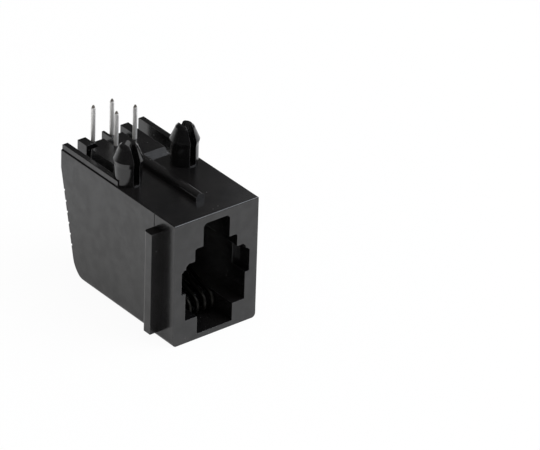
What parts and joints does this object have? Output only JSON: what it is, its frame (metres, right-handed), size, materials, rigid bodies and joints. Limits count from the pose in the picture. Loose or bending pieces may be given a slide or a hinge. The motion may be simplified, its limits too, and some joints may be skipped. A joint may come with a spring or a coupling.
{
  "type": "modular jack",
  "caption": "Black board-mount modular jack with a stepped plug mouth, split snap pegs, side ribs, stand-off rail and formed wire contacts that end in solder tails.",
  "frame": {"origin": "middle of the overall box, on the plane the bezel rests on", "axes": "+X across the jack, to the right seen from the front; +Y from the mouth to the rear; +Z from the rest face to the board side, along pegs and solder tails"},
  "size_m": [0.014, 0.0206, 0.0198],
  "materials": {
    "housing_plastic": "moulded black, satin gloss",
    "contact_wire": "plated spring wire, bright"
  },
  "bodies": {
    "root": {"housing": "housing_plastic", "contact_1": "contact_wire", "contact_2": "contact_wire", "contact_3": "contact_wire", "contact_4": "contact_wire"}
  },
  "joints": []
}
